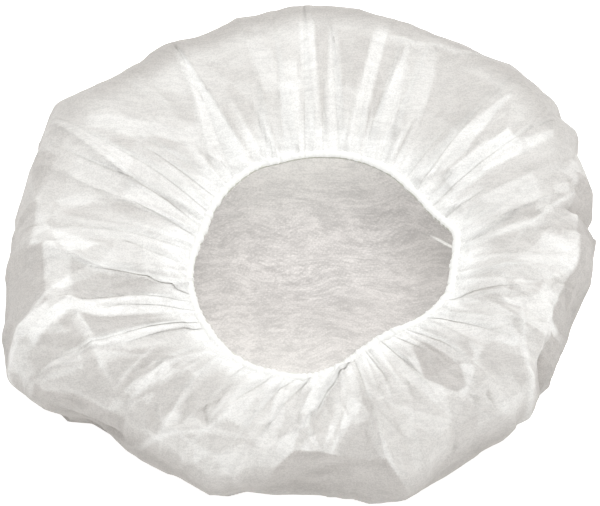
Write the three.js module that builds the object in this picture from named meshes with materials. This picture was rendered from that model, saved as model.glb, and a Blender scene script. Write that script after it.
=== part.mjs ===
// A disposable bouffant hair cover lying on its crown, with its gathered mouth up.
// Millimetres, +Z up. The origin is on the floor, under the middle of the overall box.
// The cap is one round sheet whose edge is drawn in by an elastic band inside a rolled hem.
import * as THREE from "three";

// Sizes in plan, each measured from the middle of the mouth
const BILLOW_RADIUS = 150; // mean reach of the full billow
const MOUTH_RADIUS = 65; // mean inner edge of the gathered hem

// Heights over the floor
const BILLOW_HEIGHT = 58; // crest of the billow
const RIM_HEIGHT = 40; // middle of the hem

// Cloth and elastic
const CLOTH_WALL = 1.4; // wall of the shell, so that a steep gather still keeps over 1 mm
const HEM_WALL = 1.2; // rolled cloth around the elastic
const ELASTIC_WIDTH = 2.4; // stands upright in the hem
const ELASTIC_THICKNESS = 1.2;
const CLEARANCE = 0.3; // between two pieces that touch

// Folds
const GATHER_RISE = 4.2; // tallest ridge over the valleys beside it
const GATHER_RIM_SHARE = 0.3; // of that rise where a ridge meets the hem
const GATHER_SWELL = 0.16; // share of the way out where a ridge reaches its full rise
const PUCKER = 0.5; // how far a ridge pushes the hem outwards and up
const DENT_DEPTH = 6; // deepest pocket pushed into the billow

// What goes round the hem, worked out from the band that it holds
const CHANNEL_HEIGHT = ELASTIC_WIDTH + 2 * CLEARANCE;
const CHANNEL_DEPTH = ELASTIC_THICKNESS + CLEARANCE;
const HEM_HEIGHT = CHANNEL_HEIGHT + 2 * HEM_WALL;
const HEM_DEPTH = CHANNEL_DEPTH + HEM_WALL;
const HEM_BEVEL = HEM_WALL / 2;

// The plan and the crest, a row for each corner of the outline, going anticlockwise from +X.
// mouth is a share of MOUTH_RADIUS, outer of BILLOW_RADIUS and crest of BILLOW_HEIGHT.
const SECTIONS = [
  { at: 0, mouth: 0.96, outer: 0.9, crest: 0.9 },
  { at: 14, mouth: 1.02, outer: 0.955, crest: 0.92 },
  { at: 17, mouth: 1.03, outer: 0.935, crest: 0.92 },
  { at: 22, mouth: 0.98, outer: 0.975, crest: 0.92 },
  { at: 32, mouth: 0.93, outer: 1.005, crest: 0.93 },
  { at: 48, mouth: 0.94, outer: 1.03, crest: 0.95 },
  { at: 60, mouth: 0.97, outer: 1.03, crest: 0.93 },
  { at: 68, mouth: 0.98, outer: 1.015, crest: 0.92 },
  { at: 77, mouth: 0.99, outer: 1.025, crest: 0.94 },
  { at: 90, mouth: 1.01, outer: 1.05, crest: 0.96 },
  { at: 103, mouth: 1.01, outer: 1.06, crest: 0.95 },
  { at: 112, mouth: 1.0, outer: 1.05, crest: 0.94 },
  { at: 120, mouth: 1.03, outer: 1.06, crest: 0.95 },
  { at: 128, mouth: 1.02, outer: 1.075, crest: 0.95 },
  { at: 140, mouth: 1.01, outer: 1.11, crest: 0.98 },
  { at: 146, mouth: 1.0, outer: 1.12, crest: 1.0 },
  { at: 162, mouth: 0.97, outer: 1.1, crest: 0.98 },
  { at: 173, mouth: 0.97, outer: 1.105, crest: 1.0 },
  { at: 186, mouth: 1.03, outer: 1.11, crest: 0.98 },
  { at: 197, mouth: 1.04, outer: 1.12, crest: 1.0 },
  { at: 205, mouth: 1.05, outer: 1.12, crest: 0.97 },
  { at: 211, mouth: 1.05, outer: 1.06, crest: 0.93 },
  { at: 217, mouth: 1.06, outer: 0.985, crest: 0.92 },
  { at: 229, mouth: 1.07, outer: 0.94, crest: 0.92 },
  { at: 243, mouth: 1.045, outer: 0.925, crest: 0.9 },
  { at: 248, mouth: 1.03, outer: 0.885, crest: 0.88 },
  { at: 263, mouth: 0.99, outer: 0.83, crest: 0.88 },
  { at: 280, mouth: 0.87, outer: 0.855, crest: 0.88 },
  { at: 288, mouth: 0.8, outer: 0.87, crest: 0.88 },
  { at: 301, mouth: 0.755, outer: 0.845, crest: 0.87 },
  { at: 312, mouth: 0.77, outer: 0.84, crest: 0.88 },
  { at: 322, mouth: 0.83, outer: 0.87, crest: 0.9 },
  { at: 330, mouth: 0.88, outer: 0.855, crest: 0.88 },
  { at: 346, mouth: 0.96, outer: 0.87, crest: 0.9 },
];

// The gathers, a row for each ridge: its angle at the hem, its angle where it dies out, how much of the
// way from the hem to the outer edge it reaches, and its height as a share of GATHER_RISE.
const GATHERS = [
  { at: 5, to: 14, reach: 0.8, rise: 0.9 },
  { at: 13, to: 19, reach: 0.65, rise: 0.8 },
  { at: 21, to: 24, reach: 0.4, rise: 0.6 },
  { at: 28, to: 28, reach: 0.5, rise: 0.6 },
  { at: 36, to: 35, reach: 0.92, rise: 1.0 },
  { at: 44, to: 46, reach: 0.95, rise: 1.0 },
  { at: 52, to: 50, reach: 0.5, rise: 0.8 },
  { at: 62, to: 66, reach: 0.85, rise: 0.8 },
  { at: 69, to: 72, reach: 0.82, rise: 0.9 },
  { at: 76, to: 77, reach: 0.6, rise: 0.7 },
  { at: 83, to: 87, reach: 0.8, rise: 0.9 },
  { at: 91, to: 92, reach: 0.7, rise: 0.7 },
  { at: 98, to: 96, reach: 0.9, rise: 0.9 },
  { at: 106, to: 103, reach: 0.75, rise: 1.0 },
  { at: 114, to: 109, reach: 0.5, rise: 0.9 },
  { at: 122, to: 120, reach: 0.9, rise: 0.9 },
  { at: 131, to: 127, reach: 0.7, rise: 0.9 },
  { at: 140, to: 144, reach: 0.9, rise: 1.0 },
  { at: 149, to: 149, reach: 0.85, rise: 0.8 },
  { at: 157, to: 156, reach: 0.9, rise: 0.9 },
  { at: 165, to: 164, reach: 0.5, rise: 0.6 },
  { at: 173, to: 171, reach: 0.7, rise: 0.8 },
  { at: 182, to: 176, reach: 0.45, rise: 0.6 },
  { at: 190, to: 181, reach: 0.8, rise: 1.0 },
  { at: 198, to: 191, reach: 0.7, rise: 0.8 },
  { at: 207, to: 204, reach: 1.0, rise: 0.9 },
  { at: 215, to: 212, reach: 0.6, rise: 0.7 },
  { at: 223, to: 219, reach: 0.8, rise: 0.8 },
  { at: 231, to: 228, reach: 0.6, rise: 0.7 },
  { at: 240, to: 237, reach: 0.6, rise: 0.8 },
  { at: 249, to: 243, reach: 0.7, rise: 0.7 },
  { at: 258, to: 249, reach: 1.0, rise: 0.9 },
  { at: 267, to: 257, reach: 0.85, rise: 0.9 },
  { at: 276, to: 267, reach: 0.45, rise: 0.8 },
  { at: 285, to: 283, reach: 0.75, rise: 0.8 },
  { at: 294, to: 293, reach: 0.45, rise: 0.7 },
  { at: 304, to: 303, reach: 0.55, rise: 0.8 },
  { at: 313, to: 312, reach: 0.45, rise: 0.6 },
  { at: 322, to: 321, reach: 0.5, rise: 0.7 },
  { at: 332, to: 333, reach: 0.7, rise: 0.8 },
  { at: 341, to: 346, reach: 0.55, rise: 0.7 },
  { at: 350, to: 356, reach: 0.7, rise: 0.8 },
];

// Pockets and creases pushed in, or out where depth is negative. along runs from the hem at 0, over the
// outer edge at 1, to the floor at 2, and depth is a share of DENT_DEPTH.
const DENTS = [
  { at: 17, along: 0.95, depth: 0.5, wide: 5, long: 0.2 },
  { at: 55, along: 0.62, depth: 0.5, wide: 7, long: 0.25 },
  { at: 66, along: 0.93, depth: 0.5, wide: 16, long: 0.08 },
  { at: 92, along: 0.8, depth: -0.3, wide: 8, long: 0.2 },
  { at: 115, along: 0.68, depth: 0.5, wide: 8, long: 0.3 },
  { at: 136, along: 0.8, depth: 0.4, wide: 6, long: 0.3 },
  { at: 147, along: 0.95, depth: -0.5, wide: 5, long: 0.2 },
  { at: 167, along: 0.7, depth: 0.6, wide: 7, long: 0.3 },
  { at: 180, along: 1.15, depth: 0.6, wide: 9, long: 0.35 },
  { at: 199, along: 0.9, depth: -0.5, wide: 6, long: 0.25 },
  { at: 213, along: 1.3, depth: 0.8, wide: 6, long: 0.3 },
  { at: 228, along: 0.9, depth: 0.6, wide: 8, long: 0.25 },
  { at: 240, along: 0.75, depth: -0.4, wide: 6, long: 0.25 },
  { at: 262, along: 0.8, depth: 0.5, wide: 8, long: 0.25 },
  { at: 292, along: 0.65, depth: -0.4, wide: 9, long: 0.25 },
  { at: 306, along: 1.0, depth: 0.6, wide: 9, long: 0.25 },
  { at: 322, along: 0.85, depth: -0.5, wide: 6, long: 0.3 },
  { at: 335, along: 1.15, depth: 0.7, wide: 6, long: 0.25 },
  { at: 349, along: 0.8, depth: 0.5, wide: 6, long: 0.3 },
];

// The smooth wall from the hem over the crest to the floor. along counts as in DENTS, out is the share of
// the way from the hem to the outer edge, rise the share of the way from the hem's height to the crest,
// and height a share of the crest's height over the floor.
const TOP_ROWS = [
  { along: 0, out: 0, rise: 0 },
  { along: 0.08, out: 0.08, rise: 0.32 },
  { along: 0.2, out: 0.2, rise: 0.62 },
  { along: 0.36, out: 0.36, rise: 0.88 },
  { along: 0.54, out: 0.54, rise: 1 },
];
const SIDE_ROWS = [
  { along: 0.72, out: 0.73, height: 0.97 },
  { along: 0.86, out: 0.88, height: 0.85 },
  { along: 0.95, out: 0.97, height: 0.67 },
  { along: 1, out: 1, height: 0.46 },
];
// Under the outer edge, reach is a share of the outer radius.
const UNDER_ROWS = [
  { along: 1.3, reach: 0.98, height: 0.25 },
  { along: 1.65, reach: 0.92, height: 0.09 },
  { along: 2, reach: 0.82, height: 0 },
];

// Where the two valley columns between one ridge and the next stand
const VALLEY_SHARES = [0.34, 0.66];

const { lerp, degToRad, smoothstep } = THREE.MathUtils;

// One named column of SECTIONS at any angle, straight between its rows.
function around(name, degrees) {
  const angle = ((degrees % 360) + 360) % 360;
  const last = SECTIONS[SECTIONS.length - 1];
  const rows = [...SECTIONS, { ...SECTIONS[0], at: 360 }];
  const next = rows.find((row) => row.at > angle) ?? rows[0];
  const before = rows[rows.indexOf(next) - 1] ?? last;
  return lerp(before[name], next[name], (angle - before.at) / (next.at - before.at));
}

// Each gather gives a column of points on its ridge and two in the valley after it.
const COLUMNS = GATHERS.flatMap((gather, index) => {
  const turn = index + 1 < GATHERS.length ? 0 : 360;
  const next = GATHERS[(index + 1) % GATHERS.length];
  const valleys = VALLEY_SHARES.map((share) => ({
    at: lerp(gather.at, next.at + turn, share),
    to: lerp(gather.to, next.to + turn, share),
    reach: lerp(gather.reach, next.reach, share),
    rise: 0,
  }));
  return [gather, ...valleys];
});

// A column leans from its angle at the hem to its angle where the ridge dies out.
function angleOf(column, along) {
  return lerp(column.at, column.to, Math.min(along / column.reach, 1));
}

function ridgeHeight(column, along) {
  const swell = lerp(GATHER_RIM_SHARE, 1, smoothstep(along, 0, GATHER_SWELL));
  return GATHER_RISE * column.rise * swell * (1 - smoothstep(along, GATHER_SWELL, column.reach));
}

function dentDepth(degrees, along) {
  return DENTS.reduce((sum, dent) => {
    const turn = ((degrees - dent.at + 540) % 360) - 180;
    const away = Math.hypot(turn / dent.wide, (along - dent.along) / dent.long);
    return sum + DENT_DEPTH * dent.depth * (1 - smoothstep(away, 0, 2));
  }, 0);
}

// The plan radius of the hem's inner edge: a ridge pushes it outwards.
function mouthEdge(column) {
  return MOUTH_RADIUS * around("mouth", column.at) + PUCKER * column.rise;
}

function hemHeight(column) {
  return RIM_HEIGHT + PUCKER * column.rise;
}

// The smooth wall in one column's own plane, as points with a radius, a height and a place along it.
function smoothWall(column) {
  const angleAt = (row) => angleOf(column, row.along);
  const start = mouthEdge(column) + HEM_DEPTH + CLEARANCE;
  const outer = (row) => BILLOW_RADIUS * around("outer", angleAt(row));
  const crest = (row) => BILLOW_HEIGHT * around("crest", angleAt(row));
  const top = TOP_ROWS.map((row) => ({
    along: row.along,
    radius: lerp(start, outer(row), row.out),
    height: lerp(hemHeight(column), crest(row), row.rise),
  }));
  const side = SIDE_ROWS.map((row) => ({
    along: row.along,
    radius: lerp(start, outer(row), row.out),
    height: crest(row) * row.height,
  }));
  const under = UNDER_ROWS.map((row) => ({
    along: row.along,
    radius: outer(row) * row.reach,
    height: crest(row) * row.height,
  }));
  return [...top, ...side, ...under];
}

// The direction out of the cloth at a point of the wall, in the column's own plane: straight up beside the
// hem, so that the cloth keeps its clearance there, and straight down on the floor.
function outward(wall, index) {
  if (index === 0) return { radius: 0, height: 1 };
  if (index === wall.length - 1) return { radius: 0, height: -1 };
  const before = wall[index - 1];
  const after = wall[index + 1];
  const run = new THREE.Vector2(after.radius - before.radius, after.height - before.height).normalize();
  return { radius: -run.y, height: run.x };
}

// One column of the outer face at depth 0, or of the inner face at depth CLOTH_WALL. Neither goes lower
// than the crown lies.
function clothColumn(column, depth) {
  const wall = smoothWall(column);
  return wall.map((point, index) => {
    const out = outward(wall, index);
    const onFloor = index === wall.length - 1;
    const fold = ridgeHeight(column, point.along) - dentDepth(angleOf(column, point.along), point.along);
    const shift = (onFloor ? 0 : fold) - depth;
    return {
      angle: degToRad(angleOf(column, point.along)),
      radius: point.radius + shift * out.radius,
      height: Math.max(point.height + shift * out.height, depth),
    };
  });
}

function positionOf(point) {
  return [point.radius * Math.cos(point.angle), point.radius * Math.sin(point.angle), point.height];
}

// A closed mesh from columns that all hold the same number of points. Every row is joined to the next
// one round the cap, and each end is closed by a fan, or the last row is joined to the first.
function meshGeometry(columns, endsOnAxis) {
  const rows = columns[0].length;
  const count = columns.length;
  const positions = columns.flatMap((column) => column.flatMap(positionOf));
  const faces = [];
  const at = (column, row) => (column % count) * rows + (row % rows);
  const bands = endsOnAxis ? rows - 1 : rows;
  for (let column = 0; column < count; column += 1) {
    for (let row = 0; row < bands; row += 1) {
      faces.push(at(column, row), at(column + 1, row), at(column + 1, row + 1));
      faces.push(at(column, row), at(column + 1, row + 1), at(column, row + 1));
    }
  }
  if (endsOnAxis) {
    const first = positions.length / 3;
    positions.push(0, 0, columns[0][0].height, 0, 0, columns[0][rows - 1].height);
    for (let column = 0; column < count; column += 1) {
      faces.push(first, at(column + 1, 0), at(column, 0));
      faces.push(first + 1, at(column, rows - 1), at(column + 1, rows - 1));
    }
  }
  const geometry = new THREE.BufferGeometry();
  geometry.setAttribute("position", new THREE.Float32BufferAttribute(positions, 3));
  geometry.setIndex(faces);
  geometry.computeVertexNormals();
  return geometry;
}

// The crown and billow: from the crown's middle on the floor, up the outside to the hem and back inside.
function shellGeometry() {
  const columns = COLUMNS.map((column) => {
    const outside = clothColumn(column, 0).reverse();
    const inside = clothColumn(column, CLOTH_WALL);
    return [...outside, ...inside];
  });
  return meshGeometry(columns, true);
}

// A ring that follows the mouth, from a section whose x points outwards and whose y points up.
function ringGeometry(section) {
  const columns = COLUMNS.map((column) =>
    section.map(([x, y]) => ({
      angle: degToRad(column.at),
      radius: mouthEdge(column) + x,
      height: hemHeight(column) + y,
    })),
  );
  return meshGeometry(columns, false);
}

// The rolled hem: a channel with round shoulders, open towards the middle of the mouth.
function hemSection() {
  const half = HEM_HEIGHT / 2;
  const slot = CHANNEL_HEIGHT / 2;
  return [
    [0, -slot],
    [0, -half + HEM_BEVEL],
    [HEM_BEVEL, -half],
    [HEM_DEPTH - HEM_BEVEL, -half],
    [HEM_DEPTH, -half + HEM_BEVEL],
    [HEM_DEPTH, half - HEM_BEVEL],
    [HEM_DEPTH - HEM_BEVEL, half],
    [HEM_BEVEL, half],
    [0, half - HEM_BEVEL],
    [0, slot],
    [CHANNEL_DEPTH, slot],
    [CHANNEL_DEPTH, -slot],
  ];
}

// The band lies in the channel, flush with the hem's inner edge.
function elasticSection() {
  const half = ELASTIC_WIDTH / 2;
  return [
    [0, -half],
    [ELASTIC_THICKNESS, -half],
    [ELASTIC_THICKNESS, half],
    [0, half],
  ];
}

function piece(name, geometry, colour, roughness) {
  const material = new THREE.MeshStandardMaterial({ color: colour, roughness, metalness: 0 });
  const mesh = new THREE.Mesh(geometry, material);
  mesh.name = name;
  return mesh;
}

const cap = new THREE.Group();
cap.add(piece("cap_shell", shellGeometry(), 0xefeeec, 0.85));
cap.add(piece("gathered_hem", ringGeometry(hemSection()), 0xf8f8f6, 0.85));
cap.add(piece("elastic_band", ringGeometry(elasticSection()), 0xc9cdb8, 0.6));

// The middle of the overall box comes over the origin, with the crown on the floor.
const box = new THREE.Box3().setFromObject(cap);
const middle = box.getCenter(new THREE.Vector3());
cap.position.set(-middle.x, -middle.y, -box.min.z);

export default cap;
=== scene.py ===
"""A disposable bouffant hair cover lying on its crown, with its gathered mouth up.

The cap is one thin nonwoven sheet. It is laid out in two numbers: the angle round the middle of the
mouth, and the share of the way along the cloth, from the hem over the crest and the outer edge to the
middle of the crown. Knife pleats fold the sheet over itself on the way. Sizes come from the frame.
"""

import math
import random

import bpy
import numpy as np
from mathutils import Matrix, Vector
from mathutils.bvhtree import BVHTree
from mathutils.geometry import delaunay_2d_cdt


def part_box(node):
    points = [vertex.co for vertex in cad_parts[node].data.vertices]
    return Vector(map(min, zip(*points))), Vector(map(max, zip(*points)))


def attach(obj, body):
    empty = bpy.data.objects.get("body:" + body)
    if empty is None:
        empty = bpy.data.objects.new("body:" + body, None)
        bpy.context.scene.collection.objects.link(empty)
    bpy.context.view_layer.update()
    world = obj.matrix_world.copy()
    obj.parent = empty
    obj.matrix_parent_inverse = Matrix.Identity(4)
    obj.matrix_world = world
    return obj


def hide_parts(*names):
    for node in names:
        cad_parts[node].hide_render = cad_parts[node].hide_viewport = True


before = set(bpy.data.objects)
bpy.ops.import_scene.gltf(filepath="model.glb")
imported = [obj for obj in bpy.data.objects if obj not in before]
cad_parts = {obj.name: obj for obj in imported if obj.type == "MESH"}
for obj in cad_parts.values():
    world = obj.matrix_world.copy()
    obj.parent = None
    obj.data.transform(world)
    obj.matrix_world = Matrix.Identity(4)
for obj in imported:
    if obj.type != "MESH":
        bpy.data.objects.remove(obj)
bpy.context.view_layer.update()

# The photograph's viewing angle
VIEW_ELEVATION = math.radians(58)
LENS_MM, SENSOR_MM = 500.0, 36.0
SEEN_WIDTH = 0.3042
CAMERA_AIM = (-0.0002, 0, 0.0265)
MM = 0.001

# Driving sizes, from the solids that the cloth stands for
cap_low, cap_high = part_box("cap_shell")
hem_low, hem_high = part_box("gathered_hem")
MOUTH_PLACE = (0.507, 0.493)
MOUTH_SHARE, BILLOW_SHARE, CREST_SHARE = 0.4756, 0.4966, 0.98
MOUTH_X = hem_low.x + MOUTH_PLACE[0] * (hem_high.x - hem_low.x)
MOUTH_Y = hem_low.y + MOUTH_PLACE[1] * (hem_high.y - hem_low.y)
MOUTH_RADIUS = MOUTH_SHARE * (hem_high.x - hem_low.x)
RIM_HEIGHT = (hem_low.z + hem_high.z) / 2
BILLOW_RADIUS = BILLOW_SHARE * (cap_high.x - cap_low.x)
BILLOW_HEIGHT = CREST_SHARE * (cap_high.z - cap_low.z)
DISC_RADIUS = 0.265

HEM_DEPTH = 3.0 * MM
SEED = 7


def table(names, *rows):
    """A table with named columns, as one array for each column."""
    return {name: np.array(column, float) for name, column in zip(names.split(), zip(*rows))}


# The mouth and the crest, anticlockwise from +X
SECTIONS = table(
    "at mouth crest",
    (0, 0.96, 0.9),
    (14, 1.02, 0.92),
    (17, 1.03, 0.92),
    (22, 0.98, 0.92),
    (32, 0.93, 0.93),
    (48, 0.94, 0.95),
    (60, 0.97, 0.93),
    (68, 0.98, 0.92),
    (77, 0.99, 0.94),
    (112, 1, 0.94),
    (120, 1.03, 0.95),
    (140, 1.01, 0.98),
    (146, 1, 1),
    (162, 0.97, 0.98),
    (186, 1.03, 0.98),
    (197, 1.04, 1),
    (205, 1.05, 0.97),
    (211, 1.05, 0.93),
    (229, 1.07, 0.92),
    (243, 1.045, 0.9),
    (248, 1.03, 0.88),
    (263, 0.99, 0.88),
    (280, 0.87, 0.88),
    (288, 0.8, 0.88),
    (301, 0.755, 0.87),
    (312, 0.77, 0.88),
    (322, 0.83, 0.9),
    (330, 0.88, 0.88),
    (346, 0.96, 0.9),
)

# The plan of the outer edge, a row for each corner of the polygon that the stiff cloth makes
OUTLINE = table(
    "at outer",
    (0.5, 0.905),
    (6.5, 0.92),
    (12, 0.945),
    (13.5, 0.9),
    (16.5, 0.945),
    (20.5, 0.97),
    (29, 0.985),
    (33, 1.035),
    (37, 1.02),
    (40, 1.05),
    (45, 1.06),
    (52.5, 1.07),
    (73, 1.065),
    (83.5, 1.07),
    (96.5, 1.07),
    (107.5, 1.075),
    (121.5, 1.075),
    (128, 1.055),
    (136.5, 1.105),
    (145, 1.125),
    (149.5, 1.1),
    (153.5, 1.075),
    (158.5, 1.09),
    (168, 1.1),
    (180, 1.095),
    (192, 1.105),
    (200.5, 1.12),
    (208, 1.075),
    (211, 1.0),
    (220, 0.942),
    (230, 0.91),
    (238, 0.905),
    (244, 0.912),
    (246.5, 0.895),
    (251, 0.84),
    (269.5, 0.812),
    (280, 0.855),
    (288, 0.87),
    (308.5, 0.83),
    (316.5, 0.85),
    (323, 0.828),
    (334.5, 0.88),
    (344, 0.85),
    (350, 0.855),
)

# The smooth wall: along runs from the hem at 0 over the outer edge at 1 to the floor at 2 and the
# middle of the crown at 3. reach is a share of the way from the hem to the outer edge, or past the
# edge a share of the outer radius. rise counts from the hem's height to the crest, height from the floor.
TOP_ROWS = table(
    "along reach rise",
    (0, 0, 0),
    (0.08, 0.08, 0.22),
    (0.2, 0.2, 0.55),
    (0.36, 0.36, 0.88),
    (0.54, 0.54, 1),
)
SIDE_ROWS = table(
    "along reach height",
    (0.72, 0.73, 1.0),
    (0.86, 0.88, 0.92),
    (0.95, 0.97, 0.7),
    (1, 1, 0.46),
)
UNDER_ROWS = table(
    "along reach height",
    (1.3, 0.98, 0.25),
    (1.65, 0.92, 0.09),
    (2, 0.82, 0.01),
    (3, 0, 0.01),
)

# The knife pleats: the angles that each covers at the hem, the angle and the share of the way out where
# it closes, the side that its upper fold points to, and its lift in millimetres
PLEATS = table(
    "low high to reach lean lift",
    (5, 9, 17, 0.85, 1, 0.8),
    (14.5, 18, 20, 0.7, 1, 0.8),
    (24.5, 27.5, 26, 0.35, -1, 0.7),
    (33, 40, 35, 0.92, -1, 1.0),
    (43.5, 50, 48, 0.86, -1, 1.1),
    (52, 56, 50, 0.45, -1, 0.8),
    (61, 66, 67, 0.85, 1, 0.7),
    (69, 74, 72.7, 0.82, 1, 0.7),
    (75.5, 77.5, 78, 0.6, 1, 0.6),
    (79, 84, 89, 0.8, 1, 0.7),
    (88, 91, 90.5, 0.5, 1, 0.6),
    (93, 99, 94, 0.97, 1, 0.7),
    (101, 108, 100.5, 0.85, -1, 0.7),
    (111, 120, 107.7, 0.5, -1, 0.8),
    (122, 133, 121, 0.93, 1, 0.35),
    (134.5, 139, 145.6, 0.6, 1, 0.5),
    (141, 144, 147, 0.5, 1, 0.7),
    (147, 152, 150.3, 0.92, 1, 0.7),
    (155, 160, 156, 0.9, 1, 0.8),
    (162, 166, 163, 0.45, 1, 0.8),
    (169, 173, 174, 0.73, 1, 0.4),
    (177, 181, 176.4, 0.45, 1, 0.4),
    (187, 195, 184, 0.75, 1, 1.2),
    (195.5, 198.5, 193, 0.72, 1, 0.7),
    (199, 203, 196, 0.57, 1, 0.8),
    (204.5, 208, 205.3, 0.99, 1, 1.1),
    (209, 211.5, 208.8, 0.6, 1, 0.8),
    (217.5, 221, 218, 0.83, -1, 0.8),
    (225, 230, 228.5, 0.75, -1, 0.8),
    (235.5, 239.5, 236, 0.66, -1, 0.6),
    (244, 249, 241, 0.6, 1, 0.8),
    (253.5, 258, 246, 1.0, 1, 1.1),
    (260, 264, 252, 0.87, 1, 1.1),
    (273, 283.5, 263, 0.62, 1, 1.3),
    (284.5, 287.5, 283.8, 0.75, -1, 0.8),
    (291, 295, 293, 0.4, -1, 1.0),
    (301, 305, 304, 0.5, -1, 0.8),
    (309, 312.5, 312, 0.3, -1, 0.8),
    (317, 324, 319, 0.55, -1, 0.8),
    (328, 337, 332, 0.67, -1, 0.9),
    (341, 345.5, 349, 0.6, -1, 0.85),
    (348.5, 353, 358, 0.86, 1, 1.1),
)

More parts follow.
